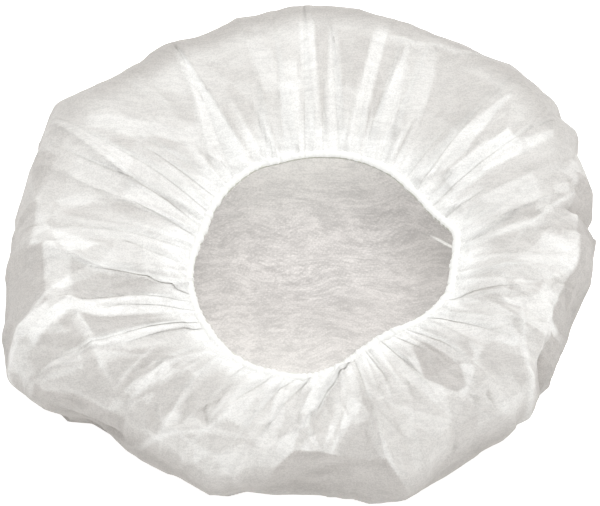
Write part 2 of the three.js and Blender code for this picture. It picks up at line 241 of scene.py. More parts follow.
# Flat stretches of the sheet with tucks under it, which are whiter, or greyer, where one taut layer lies
# over shade and where grey patches paint the shade of side walls, undersides and fold hollows: the share
# of the way out and the two angles where each starts, the same where it ends, and its tone, from 1 for
# several layers to -1 for one taut layer over painted shade
PATCHES = table(
    "start low high finish low_end high_end tone",
    (0.16, 40, 46, 0.35, 40, 46.5, 0.7),
    (0.35, 41, 46.4, 0.7, 43.8, 44.8, 0.8),
    (0.1, 51, 58, 0.36, 46.8, 59.5, -0.3),
    (0.36, 46.5, 59.5, 0.7, 47, 64, -0.5),
    (0.07, 58, 66, 0.18, 59, 65.5, -0.45),
    (0.3, 59.5, 65, 0.62, 62, 68, 0.25),
    (0.7, 58, 75.5, 0.88, 56, 75.5, -0.5),
    (0, 64, 73, 0.2, 65.6, 73.4, 0.7),
    (0.2, 65.6, 73.4, 0.68, 70.6, 71, 0.7),
    (0.07, 72.8, 73.4, 0.2, 73.3, 74, -0.5),
    (0.2, 73.4, 74, 0.38, 72, 76.2, -0.55),
    (0.38, 72, 76.2, 0.66, 71.2, 76, -0.35),
    (0, 74, 82.5, 0.25, 76, 80.5, 0.7),
    (0.25, 76.2, 80.3, 0.72, 76.2, 79, 0.6),
    (0.72, 76.2, 79, 0.88, 76, 79, 0.2),
    (0.36, 79.8, 85, 0.7, 79.5, 87.5, -0.45),
    (0, 84, 89.4, 0.4, 85.5, 89.3, 0.6),
    (0.4, 85.5, 89.2, 0.68, 88.2, 89, 0.5),
    (0.05, 89.5, 91.8, 0.4, 89.5, 91.8, -0.5),
    (0.4, 89.3, 92.2, 0.72, 89.4, 92.2, -0.4),
    (0, 92, 97, 0.45, 92.3, 97, 0.5),
    (0.45, 92.3, 96, 0.75, 92.5, 95.8, 0.7),
    (0.75, 92.6, 94, 0.98, 92.8, 93.8, 0.35),
    (0.05, 100, 107, 0.4, 97, 103.3, 0.8),
    (0.4, 97.5, 103, 0.52, 97.5, 102, 0.5),
    (0.35, 103.2, 107.6, 0.62, 103, 108, 0.3),
    (0.8, 80, 114, 0.98, 80, 114, -0.55),
    (0.04, 117.5, 120.5, 0.2, 113.5, 125, -0.4),
    (0.2, 113.5, 122.5, 0.33, 107.6, 122.2, -0.45),
    (0.33, 107.6, 122.2, 0.66, 107.8, 121.6, -0.3),
    (0.66, 107.8, 121.6, 0.88, 107, 121, -0.25),
    (0, 123, 130, 0.19, 126, 134.8, 0.7),
    (0.19, 122.7, 134.8, 0.5, 122, 126.6, 0.75),
    (0.5, 122, 126.6, 0.82, 121.2, 121.9, 0.75),
    (0.1, 131, 140, 0.35, 130, 137, 0.45),
    (0.5, 134, 140, 0.85, 128, 146, -0.15),
    (0.3, 134, 138, 0.5, 139, 146, 0.35),
    (0.5, 139.5, 146, 0.75, 147, 149.5, 0.4),
    (0.12, 138, 142, 0.22, 140, 145, -0.35),
    (0.3, 139, 142, 0.44, 142, 147, -0.4),
    (0.48, 146.5, 150, 0.6, 148.5, 150, -0.4),
    (0.1, 143, 157, 0.3, 147, 158, 0.45),
    (0.3, 148, 157.5, 0.45, 151, 157.2, 0.4),
    (0.45, 151, 157, 0.6, 150.3, 155.5, 0.65),
    (0.6, 150.3, 155.5, 0.88, 150.3, 151.5, 0.4),
    (0.1, 158, 164.5, 0.42, 158, 164, 0.7),
    (0.42, 158, 164, 0.72, 157, 161.5, 0.3),
    (0.07, 164.5, 168, 0.18, 166, 170, -0.5),
    (0.18, 165.5, 170, 0.45, 164.6, 167, -0.35),
    (0.05, 170, 190, 0.25, 172, 190, 0.55),
    (0.25, 171, 177, 0.72, 171, 178, 0.5),
    (0.25, 177, 189.5, 0.4, 177, 187.5, 0.3),
    (0.4, 185, 188.6, 0.72, 182, 184, 0.55),
    (0.68, 180, 182.2, 0.78, 180.3, 181.8, 0.7),
    (0.72, 161, 172, 0.95, 159, 174, -0.3),
    (0.8, 158, 182, 1.3, 152, 186, -0.75),
    (0.74, 180, 194, 1.3, 176, 204, -0.9),
    (0.08, 191, 193.5, 0.25, 191, 195.5, -0.5),
    (0.25, 190, 195.5, 0.42, 188.3, 195, -0.65),
    (0.42, 188, 195, 0.62, 184.5, 194, -0.6),
    (0, 195.5, 204, 0.3, 195.3, 202, 0.8),
    (0.3, 195.1, 202, 0.64, 193.5, 197.5, 0.85),
    (0.64, 193.5, 197.5, 0.85, 199, 201.5, 0.85),
    (0.08, 203.8, 206, 0.3, 201.5, 205.3, -0.7),
    (0.3, 201.5, 205.2, 0.6, 198, 204.4, -0.6),
    (0.1, 206, 209.8, 0.45, 205.4, 209.6, 0.9),
    (0.45, 205.4, 209.6, 0.66, 205.2, 207.5, 0.9),
    (0.65, 198, 205, 0.9, 202, 206, -0.55),
    (0.38, 219, 220, 0.52, 210, 216.5, -0.6),
    (0.52, 214.5, 217, 0.62, 211.5, 218, -0.6),
    (0.62, 211.5, 218.3, 0.92, 212, 218, -0.6),
    (0.45, 219, 224.5, 0.8, 218.2, 220.7, 0.7),
    (0.4, 225.5, 230, 0.92, 221.5, 230, -0.5),
    (0.13, 232, 235, 0.25, 231, 238.5, -0.55),
    (0.25, 230.8, 238.8, 0.72, 230.5, 239, -0.45),
    (0.2, 240, 249, 0.6, 242, 246, 0.5),
    (0.6, 234, 254, 0.85, 232, 252, -0.35),
    (0.2, 252, 257, 0.62, 254, 257.5, 0.6),
    (0, 262, 279.5, 0.2, 264.5, 275.5, 1),
    (0.2, 264.5, 275, 0.5, 262, 267, 0.85),
    (0.44, 282, 283, 0.6, 277.5, 283.5, -0.6),
    (0.6, 277.3, 283.6, 0.85, 271, 283.8, -0.65),
    (0.85, 262, 284, 1.3, 242, 298, -1),
    (0.5, 289, 301, 0.7, 288, 301, -0.25),
    (0.7, 294, 308, 0.93, 292, 312, -0.35),
    (0.93, 284, 318, 1.3, 280, 324, -0.45),
    (0.95, 222, 262, 1.3, 222, 250, -0.6),
    (0.93, 206, 222, 1.3, 206, 222, -1),
    (0.2, 309.5, 315, 0.5, 303.8, 316, -0.95),
    (0.5, 303.6, 317, 0.7, 309, 312, -0.85),
    (0.12, 325, 336, 0.45, 325.5, 335.5, 0.45),
    (0.45, 326, 337, 0.56, 327, 336, 0.5),
    (0.56, 329, 336, 0.72, 329.5, 331, 0.8),
    (0.65, 323.8, 325, 0.9, 322.5, 324.5, -0.5),
    (0.9, 326, 341, 1.25, 324, 343, -1),
    (0.17, 340.5, 346, 0.45, 343.5, 348.5, -0.6),
    (0.45, 343.5, 349, 0.7, 348, 352, -0.65),
    (0.1, 349.5, 356, 0.3, 350, 355, -0.35),
    (0.25, 361, 367, 0.6, 360, 369, -0.35),
    (0.6, 366, 372, 0.8, 366, 374, -0.4),
    (0.62, 362.2, 365.3, 0.86, 361.5, 365, 0.5),
    (0.1, 366.5, 369, 0.55, 369, 371, 0.4),
    (0.12, 371, 375, 0.3, 371, 373.8, -0.3),
    (0.3, 370, 373.7, 0.6, 371, 375.5, -0.5),
    (0.1, 375, 384, 0.6, 375.8, 384, 0.4),
    (0.7, 376.5, 379, 0.8, 376.5, 379.3, 0.5),
    (0.3, 384.2, 388.5, 0.8, 384.5, 390, -0.35),
    (0.15, 390, 399, 0.6, 390.5, 398, 0.95),
    (0.6, 390.3, 393.5, 0.8, 391, 392.5, 0.6),
    (0.87, 343, 382, 1.3, 343, 384, -1),
    (0.9, 382, 400, 1.3, 382, 402, -0.55),
)

# Creases pressed into the sheet: where each starts and ends, as an angle and a share of the way out,
# then its height in millimetres, its width in millimetres, the side that it falls away on, 0 for
# both, and its tone, from 1 for a white ridge, partly whitened cloth and partly painted highlight, to -1
# for a valley line of painted shade
CREASES = table(
    "at start to finish height width side tone",
    (57.5, 0.81, 65, 0.73, 2.4, 12, 0, 0.5),
    (65, 0.73, 75, 0.685, 2.4, 12, 0, 0.4),
    (45.5, 0.8, 40, 0.4, 2.2, 7, 1, -0.5),
    (40, 0.4, 39, 0.2, 2.0, 6, 1, -0.4),
    (39, 0.2, 47, 0.05, 1.6, 4, 1, -0.5),
    (38, 0.85, 33.5, 0.6, 1.6, 6, 1, -0.4),
    (33.5, 0.6, 32.2, 0.35, 1.6, 6, 1, -0.4),
    (24, 0.75, 20.5, 0.48, 1.4, 5, 1, -0.3),
    (22.5, 0.25, 23.5, 0.13, 1.2, 4, 1, -0.5),
    (27.5, 0.06, 24.5, 0.15, 1.2, 4, 1, -0.5),
    (16, 0.65, 13.8, 0.45, 1.8, 6, 1, -0.4),
    (13.8, 0.45, 15.5, 0.08, 1.6, 6, 1, -0.4),
    (15, 0.78, 8.5, 0.5, 2.2, 7, 1, 0.6),
    (8.5, 0.5, 6, 0.1, 1.8, 6, 1, 0.5),
    (349.5, 0.65, 345.5, 0.2, 1.4, 4, 0, 0.5),
    (348, 0.7, 342.5, 0.17, 1.6, 4, 0, 0.4),
    (345, 0.45, 340.5, 0.17, 1.6, 4, 0, 0.5),
    (337, 0.65, 326, 0.88, 4.0, 14, 1, 0.7),
    (326, 0.88, 322, 1.0, 4.0, 14, 1, 0.6),
    (324, 0.45, 326, 0.12, 1.8, 6, -1, -0.5),
    (303, 0.6, 304, 0.28, 1.8, 6, -1, -0.5),
    (293, 0.42, 294, 0.15, 1.0, 5, -1, -0.3),
    (284, 0.97, 283.5, 0.6, 1.6, 7, -1, -0.4),
    (283.5, 0.6, 282, 0.15, 1.4, 6, -1, -0.5),
    (280.5, 0.07, 276, 0.19, 3.2, 8, -1, -0.9),
    (276, 0.19, 271, 0.35, 3.2, 9, -1, -0.9),
    (271, 0.35, 263, 0.62, 2.6, 9, -1, -0.7),
    (264.5, 0.22, 262.5, 0.38, 1.0, 4, 1, -0.4),
    (259.5, 0.65, 257, 0.8, 1.6, 6, 1, -0.5),
    (256.5, 0.4, 254, 0.6, 1.4, 5, 1, -0.4),
    (254, 0.6, 249, 0.93, 2.0, 7, 1, -0.5),
    (246, 0.35, 243.5, 0.55, 1.8, 8, 0, 0.5),
    (243.5, 0.55, 240, 0.75, 1.4, 9, 0, 0.7),
    (240, 0.75, 230, 0.93, 2.0, 12, 0, 0.7),
    (231, 0.85, 230, 0.65, 1.6, 5, 0, 0.6),
    (230, 0.65, 228.5, 0.35, 1.2, 5, 0, 0.4),
    (224.8, 0.45, 220.5, 0.76, 1.8, 6, -1, -0.5),
    (225, 0.4, 224.5, 0.1, 1.0, 4, 0, 0.4),
    (219.5, 0.38, 216, 0.52, 1.2, 5, 1, -0.4),
    (210.5, 0.15, 208, 0.55, 1.8, 6, -1, -0.7),
    (208, 0.55, 207, 0.85, 2.0, 7, -1, -0.8),
    (207, 0.85, 205, 0.97, 2.0, 7, -1, -0.8),
    (207, 0.63, 194, 0.65, 2.0, 8, 0, 0.7),
    (211, 0.74, 207, 0.65, 1.6, 6, 0, 0.6),
    (201.5, 0.97, 197, 0.86, 2.2, 7, 0, 0.7),
    (197, 0.86, 192, 0.74, 2.2, 7, 0, 0.7),
    (190, 0.02, 192.5, 0.12, 1.8, 5, -1, -0.7),
    (192.5, 0.12, 191, 0.25, 2.4, 7, -1, -0.8),
    (191, 0.25, 184, 0.6, 3.0, 9, -1, -0.8),
    (184, 0.6, 182, 0.72, 2.6, 9, -1, -0.6),
    (185, 0.38, 183, 0.05, 1.0, 4, 1, -0.5),
    (176, 0.38, 182, 0.18, 0.8, 4, 1, -0.2),
    (164.3, 0.35, 161, 0.85, 1.8, 6, -1, -0.5),
    (155.5, 0.43, 150.5, 0.88, 1.6, 6, -1, -0.5),
    (157.7, 0.42, 152, 0.85, 2.2, 7, -1, -0.8),
    (158.5, 0.2, 157.8, 0.42, 1.4, 5, -1, -0.4),
    (134.8, 0.17, 129, 0.05, 1.4, 4, -1, -0.6),
    (134.8, 0.18, 121.5, 0.8, 1.6, 5, -1, -0.8),
    (107.5, 0.07, 103.5, 0.34, 1.2, 4, -1, -0.5),
    (88.5, 0.68, 85.3, 0.4, 1.0, 4, 1, -0.4),
    (82, 0.05, 80.5, 0.14, 1.0, 4, 1, -0.4),
    (70.6, 0.66, 65.5, 0.22, 1.2, 5, 1, -0.5),
    (152, 0.9, 170, 0.8, 4.0, 18, 0, 0.1),
    (170, 0.8, 183, 0.7, 4.5, 20, 0, 0.1),
    (183, 0.7, 196, 0.72, 4.5, 20, 0, 0.1),
    (209, 0.98, 218.5, 0.92, 1.5, 14, 0, 0.2),
    (209, 0.1, 204, 0.7, 1.2, 4, 1, -0.5),
    (222, 0.2, 219, 0.72, 1.2, 4, 0, 0.6),
    (213, 0.4, 216.5, 0.75, 1.0, 4, 0, 0.4),
    (330, 1.0, 337, 0.88, -5.0, 6, 0, -1),
    (209.5, 1.0, 221, 1.02, -3.0, 5, 0, -1),
    (262, 1.0, 275, 0.9, -2.0, 6, 0, -0.7),
)

# Pockets pushed in, or out where depth is negative: depth in millimetres, wide in degrees, and long as a
# share of the way out
DENTS = table(
    "at along depth wide long",
    (17, 0.95, 3, 5, 0.2),
    (55, 0.62, 3, 7, 0.25),
    (66, 0.93, 3, 16, 0.08),
    (92, 0.8, -2, 8, 0.2),
    (115, 0.68, 3, 8, 0.3),
    (136, 0.8, 2.4, 6, 0.3),
    (147, 0.95, -3, 5, 0.2),
    (167, 0.7, 3.6, 7, 0.3),
    (180, 1.15, 3.6, 9, 0.35),
    (199, 0.9, -3, 6, 0.25),
    (213, 1.3, 5, 6, 0.3),
    (228, 0.9, 3.6, 8, 0.25),
    (262, 0.8, 3, 8, 0.25),
    (292, 0.65, -2.4, 9, 0.25),
    (306, 1.0, 3.6, 9, 0.25),
    (322, 0.85, -3, 6, 0.3),
    (335, 1.15, 4.2, 6, 0.25),
    (349, 0.8, 3, 6, 0.3),
)

# Stretches of the sheet that are crumpled more than the rest
CRUMPLED = table(
    "at along strength wide long",
    (318, 0.5, 0.35, 26, 0.4),
    (285, 0.65, 0.4, 30, 0.35),
    (230, 0.7, 0.3, 24, 0.3),
    (185, 0.8, 0.4, 24, 0.3),
    (352, 0.7, 0.6, 18, 0.35),
    (15, 0.9, 0.5, 14, 0.3),
    (250, 0.5, 0.2, 30, 0.25),
    (195, 0.5, 0.4, 25, 0.25),
)

# Colours of the cloth: one taut layer, which also stands for painted shade on walls and edges turned from
# the light, one layer, several layers, the crown seen through the mouth, darkened as painted shade of its
# hollow, and painted shade for the valleys of the folds, the underside and a shaded spot on the crown
TAUT_AND_SHADED_CLOTH = (0.75, 0.73, 0.71)
SINGLE_CLOTH = (0.895, 0.887, 0.865)
LAYERED_CLOTH = (1.0, 1.0, 0.98)
SHADED_CROWN_CLOTH = (0.655, 0.637, 0.624)
PAINTED_SHADE_CLOTH = (0.56, 0.54, 0.52)
ELASTIC_COLOUR = (0.66, 0.67, 0.6)

# The web of the cloth: noise scales in X, Y and Z for each texture, the turn of the fibres in degrees,
# the part of the summed noise that shows, and how far it darkens the cloth and the hem
FIBRE_SCALE, CLOUD_SCALE, GRAIN_SCALE = (170, 900, 760), (70, 240, 200), (1300, 1500, 1400)
FIBRE_TURN = -8
GRAIN_SHARE = 1.6
MOTTLE_NOISE = (1.52, 2.04)
MOTTLE_RANGE = (0.84, 1.0)
HEM_MOTTLE_RANGE = (0.96, 1.0)
WEB_NOISE = (0.8, 1.2)
WEB_RANGE = (0.86, 1.02)
DRIFT_SCALE = 24
DRIFT = 0.028
FIBRE_RELIEF = 0.6 * MM
BOND_ROWS = 330
BOND_SIZE = (0.2, 0.4)
BOND_GLINT = 0.1
CLOTH_ROUGHNESS = 0.7

# How much light comes through: the hem, one layer, several layers, and the crown inside
HEM_THROUGH = 0.2
ONE_LAYER_THROUGH = 0.6
LAYERED_THROUGH = 0.15
CROWN_THROUGH = 0.75

# On the crown inside: two paler stretches of painted light, a hollow of painted shade and a small fold
# painted as a pale line, as place, size and turn in degrees
CROWN_GLOWS = (((0.0, 0.085, 0), (0.1, 0.055, 0.03), 10), ((-0.02, -0.09, 0), (0.09, 0.075, 0.03), 0))
CROWN_SHADE = ((0.071, 0.015, 0), (0.03, 0.034, 0.02), 0)
CROWN_SHADE_DEPTH = 0.42
CROWN_FOLD = ((0.0738, 0.0222, 0), (0.0105, 0.0011, 0.012), -31.9)

# Grid of the finished sheet: its columns on all panels and inside each flap, its bands of rows as start,
# end and count, the fewest columns of a panel, and the degrees added to each panel's width
PANEL_COLUMNS = 710
FLAP_COLUMNS = 3
ROW_BANDS = ((0.0, 0.33, 66), (0.33, 0.5, 26), (0.5, 0.985, 16))
PANEL_LEAST = 5
PANEL_EXTRA_DEGREES = 4
SHARP_CLOTH = math.radians(15)
FLOOR_GAP = 0.3 * MM

# Pleats: how far their fold lines part again past the closing, in degrees and over which share of the
# way, how their lift swells from the hem and settles, and over which share of the reach it ends
PLEAT_PARTING = 0.5
PLEAT_PARTING_RUN = 0.25
PLEAT_SWELL = (0.5, 0.85)
PLEAT_SETTLED = 0.4
PLEAT_ENDING = 0.3

# Small gathers round the hem: how many, their height, and their shortest reach with what the longest adds
GATHERS = 220
GATHER_HEIGHT = 1.6 * MM
GATHER_REACH = (0.08, 0.5)

# Crumples: the facets' size in metres of flat cloth and their height in millimetres, coarse to finest,
# then the height of the crown's crumples and of a tuck
CRUMPLE_SIZES = (0.04, 0.02, 0.01)
CRUMPLE_HEIGHTS = (3.4, 3.6, 1.9)
CROWN_CRUMPLE = 0.35 * MM
TUCK_HEIGHT = 0.5 * MM

# Whiteness and darkness along the cloth: layers whiten it, and painted light and shade lie on the facets,
# the crease lines, the outer edge and below it; and the soft border of a patch
PATCH_SOFT = 0.5 * MM
ONE_LAYER = 0.4
PLEAT_WHITE = 0.45
FACET_LIGHT_AND_SHADE = 0.45
LINE_DARKNESS = 0.4
EDGE_DARKNESS = 0.35
UNDER_DARKNESS = 0.62
CREASE_LINE = 0.9 * MM

# The rolled hem and the elastic in it, in millimetres, with the roll's start and turn in degrees
HEM_COLUMNS = 1100
HEM_PUCKERS = 300
HEM_STEPS = 14
HEM_ROLL, HEM_RISE = 2.2, 1.6
HEM_OPENS_AT, HEM_TURN = 200, 320
HEM_LIP = [(0.9, 0.3), (1.5, 0.6), (1.5, -0.6), (0.9, -0.5)]
PUCKER_SWELL, PUCKER_LEAN = 0.22, 0.3
ELASTIC_COLUMNS = 480
ELASTIC_SECTION = [(0.2, -0.7), (1.2, -0.7), (1.2, 0.5), (0.2, 0.5)]
SHARP_RING = math.radians(60)

# The studio: a wide softbox above, pale surroundings, and a floor that gives off a little light itself
WORLD_STRENGTH = 0.66
SOFTBOX_PLACE, SOFTBOX_AIM = (0.35, 0.35, 1.9), (0, 0, 0.03)
SOFTBOX_SIZE, SOFTBOX_WATTS = (1.8, 1.6), 29
FLOOR_HALF = 6
FLOOR_COLOUR, FLOOR_GLOW = (0.97, 0.97, 0.97), 0.6


def smoothstep(value, low, high):
    """0 below low, 1 above high, and an even S curve between."""
    share = np.clip((value - low) / (high - low), 0, 1)
    return share * share * (3 - 2 * share)


def lerp(a, b, share):
    """The value this share of the way from a to b."""
    return a + (b - a) * share


def around(name, degrees):
    """A column of SECTIONS at any angle, straight between its rows."""
    return np.interp(degrees % 360, SECTIONS["at"], SECTIONS[name], period=360)


def outer_edge(degrees):
    """The outer radius at any angle, on the straight chord between two corners of OUTLINE."""
    turn = degrees % 360
    before = np.searchsorted(OUTLINE["at"], turn, side="right") - 1
    after = (before + 1) % len(OUTLINE["at"])
    first = OUTLINE["at"][before]
    last = OUTLINE["at"][after] + 360 * (after == 0)
    lean_on_first = np.sin(np.radians(last - turn)) / OUTLINE["outer"][before]
    lean_on_last = np.sin(np.radians(turn - first)) / OUTLINE["outer"][after]
    return BILLOW_RADIUS * np.sin(np.radians(last - first)) / (lean_on_first + lean_on_last)


# Steps of the tables of the smooth wall: round the mouth, along the cloth, and between two knots
ANGLE_STEPS = 720
SHARE_STEPS = 400
KNOT_STEPS = 24


def wall_knots(degrees):
    """The wall's knots at each angle: along, radius and height, each knots by angles."""
    mouth = MOUTH_RADIUS * around("mouth", degrees) + HEM_DEPTH
    outer = outer_edge(degrees)
    crest = BILLOW_HEIGHT * around("crest", degrees)
    rows = []
    for along, reach, rise in zip(*TOP_ROWS.values()):
        rows.append((along, lerp(mouth, outer, reach), lerp(RIM_HEIGHT, crest, rise)))
    for along, reach, height in zip(*SIDE_ROWS.values()):
        rows.append((along, lerp(mouth, outer, reach), crest * height))
    for along, reach, height in zip(*UNDER_ROWS.values()):
        rows.append((along, outer * reach, crest * height))
    along = np.array([row[0] for row in rows])
    return along, np.array([row[1] for row in rows]), np.array([row[2] for row in rows])


def through_knots(knots, steps):
    """A smooth curve through the knots of each angle, with steps points between each two."""
    ends = np.vstack([2 * knots[0] - knots[1], knots, 2 * knots[-1] - knots[-2]])
    shares = np.linspace(0, 1, steps, endpoint=False)[:, None]
    curves = []
    for a, b, c, d in zip(ends, ends[1:], ends[2:], ends[3:]):
        bend = 2 * b + (c - a) * shares + (2 * a - 5 * b + 4 * c - d) * shares**2
        curves.append((bend + (3 * b - a - 3 * c + d) * shares**3) / 2)
    return np.vstack(curves + [knots[-1:]])


def tabulate_wall():
    """The smooth wall round the mouth and along the cloth: its place and its outward way."""
    degrees = np.arange(ANGLE_STEPS) * 360 / ANGLE_STEPS
    along, radius, height = wall_knots(degrees)
    radii = through_knots(radius, KNOT_STEPS)
    heights = through_knots(height, KNOT_STEPS)
    alongs = np.interp(np.arange(len(radii)) / KNOT_STEPS, np.arange(len(along)), along)
    run = np.hypot(np.diff(radii, axis=0), np.diff(heights, axis=0))
    length = np.vstack([np.zeros((1, ANGLE_STEPS)), np.cumsum(run, axis=0)])
    shares = np.linspace(0, 1, SHARE_STEPS)
    tables = {name: np.empty((ANGLE_STEPS, SHARE_STEPS)) for name in ("radius", "height", "along")}
    for column in range(ANGLE_STEPS):
        path = length[:, column] / length[-1, column]
        tables["radius"][column] = np.interp(shares, path, radii[:, column])
        tables["height"][column] = np.interp(shares, path, heights[:, column])
        tables["along"][column] = np.interp(shares, path, alongs)
    across = np.gradient(tables["radius"], axis=1)
    up = np.gradient(tables["height"], axis=1)
    size = np.hypot(across, up)
    tables["out_radius"] = -up / size
    tables["out_height"] = across / size
    return tables


WALL = tabulate_wall()


def on_wall(name, degrees, share):
    """A value of the smooth wall at any angle and share of the way along the cloth."""
    table_now = WALL[name]
    column = (degrees % 360) * ANGLE_STEPS / 360
    row = np.clip(share, 0, 1) * (SHARE_STEPS - 1)
    low_column = np.floor(column).astype(int)
    low_row = np.minimum(np.floor(row).astype(int), SHARE_STEPS - 2)
    across, down = column - low_column, row - low_row
    first = low_column % ANGLE_STEPS
    second = (low_column + 1) % ANGLE_STEPS
    left = lerp(table_now[first, low_row], table_now[first, low_row + 1], down)
    right = lerp(table_now[second, low_row], table_now[second, low_row + 1], down)
    return lerp(left, right, across)


# The folded sheet


def straight_share(radius, first, last):
    """How far a straight line has turned when it has come to this radius, from first to last."""
    return np.clip((1 - first / radius) / (1 - first / last), 0, 1)


def pleat_lines(shares):
    """The two fold lines of each pleat: angles and lifts, each pleats by rows."""
    low, high = PLEATS["low"][:, None], PLEATS["high"][:, None]
    to, reach, lean = PLEATS["to"][:, None], PLEATS["reach"][:, None], PLEATS["lean"][:, None]
    middle = np.broadcast_to((low + high) / 2, (len(low), len(shares)))
    share = np.broadcast_to(shares[None, :], middle.shape)
    along = on_wall("along", middle, share)
    mouth = MOUTH_RADIUS * around("mouth", middle)
    outer = outer_edge(to)
    closing = lerp(mouth, outer, reach)
    turned = straight_share(lerp(mouth, outer, np.minimum(along, reach)), mouth, closing)
    opened = PLEAT_PARTING * smoothstep(along, reach, reach + PLEAT_PARTING_RUN)
    first = lerp(high, to, turned) - opened
    second = lerp(low, to, turned) + opened
    swell = lerp(*PLEAT_SWELL, smoothstep(along, 0, 0.12))
    swell = swell * lerp(1, PLEAT_SETTLED, smoothstep(along, 0.15, 0.55))
    ending = np.clip((reach - along) / (PLEAT_ENDING * reach), 0, 1)
    lift = PLEATS["lift"][:, None] * MM * swell * ending
    return first, second, np.where(lean > 0, lift, 0), np.where(lean > 0, 0, lift)


def sheet_grid(shares):
    """Angle and lift of every column of the sheet at every row, with the angles of the fold lines."""
    first, second, first_lift, second_lift = pleat_lines(shares)
    count = len(first)
    turns = [360 if index + 1 == count else 0 for index in range(count)]
    closings = PLEATS["to"]
    widths = np.array([closings[(i + 1) % count] + turns[i] - closings[i] for i in range(count)])
    widths = widths + PANEL_EXTRA_DEGREES
    panels = np.maximum(PANEL_LEAST, np.round(PANEL_COLUMNS * widths / widths.sum())).astype(int)
    angles, lifts = [], []
    for index in range(count):
        after = (index + 1) % count
        for step in range(FLAP_COLUMNS + 1):
            part = step / (FLAP_COLUMNS + 1)
            angles.append(lerp(first[index], second[index], part))
            lifts.append(lerp(first_lift[index], second_lift[index], part))
        for step in range(panels[index]):
            part = (step + 0.5 * (step > 0)) / panels[index]
            angles.append(lerp(second[index], first[after] + turns[index], part))
            lifts.append(lerp(second_lift[index], first_lift[after], part))
    return np.array(angles), np.array(lifts), first, second


def ramp(distance, soft):
    """0 outside a border, 1 inside it, straight over a width of twice soft."""
    return np.clip(0.5 + distance / (2 * soft), 0, 1)


def pleat_cover(angles, radius, first, second):
    """How far three layers cover each point: 1 between the two fold lines of a pleat."""
    cover = np.zeros_like(angles)
    for high, low in zip(first, second):
        middle = (high + low) / 2
        turn = (angles - middle + 180) % 360 - 180
        inside = (high - low) / 2 - np.abs(turn)
        cover = np.maximum(cover, ramp(np.radians(inside) * radius, PATCH_SOFT) * (high - low > 0.3))
    return cover


def patch_tones(angles, along, radius):
    """The strongest white and the strongest grey patch at each point; the grey ones are partly taut cloth
    and partly painted shade.
    """
    white = np.zeros_like(angles)
    grey = np.zeros_like(angles)
    for start, low, high, finish, low_end, high_end, tone in zip(*PATCHES.values()):
        part = np.clip((along - start) / (finish - start), 0, 1)
        middle = lerp(low + high, low_end + high_end, part) / 2
        half = lerp(high - low, high_end - low_end, part) / 2
        turn = (angles - middle + 180) % 360 - 180
        inside = np.radians(half - np.abs(turn)) * radius
        ends = np.minimum(along - start, finish - along) * BILLOW_RADIUS / 2
        cover = ramp(inside, PATCH_SOFT) * ramp(ends, PATCH_SOFT)
        if tone > 0:
            white = np.maximum(white, tone * cover)
        else:
            grey = np.maximum(grey, -tone * cover)
    return white, grey


def gather_pattern(degrees):
    """Height from -1 to 1 of the small gathers, and the share of the way out that each reaches."""
    rng = np.random.default_rng(SEED)
    heights = rng.uniform(-1, 1, GATHERS)
    reaches = GATHER_REACH[0] + GATHER_REACH[1] * rng.random(GATHERS) ** 2
    place = (degrees % 360) * GATHERS / 360
    low = np.floor(place).astype(int) % GATHERS
    part = place - np.floor(place)
    after = (low + 1) % GATHERS
    return lerp(heights[low], heights[after], part), lerp(reaches[low], reaches[after], part)


def chart(angles, along):
    """The sheet laid out flat round the mouth, with the cloth's own length along each angle."""
    mouth = MOUTH_RADIUS * around("mouth", angles)
    outer = outer_edge(angles)
    reach = np.interp(along, (0, 1, 2, 3), (0, 1, 1.5, 2.4))
    radius = lerp(mouth, outer, reach)
    return radius * np.cos(np.radians(angles)), radius * np.sin(np.radians(angles))


def crease_relief(angles, along):
    """Height of the creases at each point, the whiteness of their ridge lines, partly whitened cloth and
    partly painted highlight, and the painted shade of their valley lines.
    """
    x, y = chart(angles, along)
    relief = np.zeros_like(angles)
    white = np.zeros_like(angles)
    dark = np.zeros_like(angles)
    for at, start, to, finish, height, width, side, tone in zip(*CREASES.values()):
        start_x, start_y = chart(np.array(at), np.array(start))
        end_x, end_y = chart(np.array(to), np.array(finish))
        run_x, run_y = end_x - start_x, end_y - start_y
        size = math.hypot(run_x, run_y)
        part = ((x - start_x) * run_x + (y - start_y) * run_y) / size**2
        away = ((y - start_y) * run_x - (x - start_x) * run_y) / size
        beyond = np.maximum(np.maximum(-part, part - 1), 0) * size
        reach = np.hypot(away, beyond) / (width * MM)
        fade = np.clip(1 - beyond / (2.5 * width * MM), 0, 1)
        profile = np.clip(1 - reach, 0, 1) ** 1.5
        if side:
            profile = np.where(away * side > 0, profile, np.exp(-reach * 2.2))
        relief += height * MM * fade * profile
        line = fade * np.exp(-((away / CREASE_LINE) ** 2))
        if tone > 0:
            white = np.maximum(white, tone * line)
        else:
            dark = np.maximum(dark, -tone * line)
    return relief, white, dark


def dent_depth(degrees, along):
    """How deep the pockets are pushed in at each point."""
    depth = np.zeros_like(degrees)
    for at, place, deep, wide, long in zip(*DENTS.values()):
        turn = (degrees - at + 180) % 360 - 180
        away = np.hypot(turn / wide, (along - place) / long)
        depth += deep * MM * (1 - smoothstep(away, 0, 2))
    return depth


def crumple(seed, spacing, points):
    """A crumpled flat disc: the height of its flat facets with sharp creases, and a tone for each that
    paints light and shade on the facet.
    """
    rng = random.Random(seed)
    count = int(math.pi * DISC_RADIUS**2 / spacing**2)
    places = []
    for _ in range(count):
        radius = DISC_RADIUS * 1.08 * math.sqrt(rng.random())
        angle = rng.random() * math.tau
        places.append(Vector((radius * math.cos(angle), radius * math.sin(angle))))
    verts, _, faces, *_ = delaunay_2d_cdt(places, [], [], 0, 1e-6)
    heights = [rng.uniform(-1, 1) for _ in verts]
    tones = [rng.uniform(-1, 1) for _ in faces]
    tree = BVHTree.FromPolygons([(v.x, v.y, h) for v, h in zip(verts, heights)], faces)
    down = Vector((0, 0, -1))
    values = np.zeros((2, len(points)))
    for index, (x, y) in enumerate(points):
        hit, _, facet, _ = tree.ray_cast(Vector((x, y, 5.0)), down)
        if hit is not None:
            values[:, index] = hit.z, tones[facet]
    return values


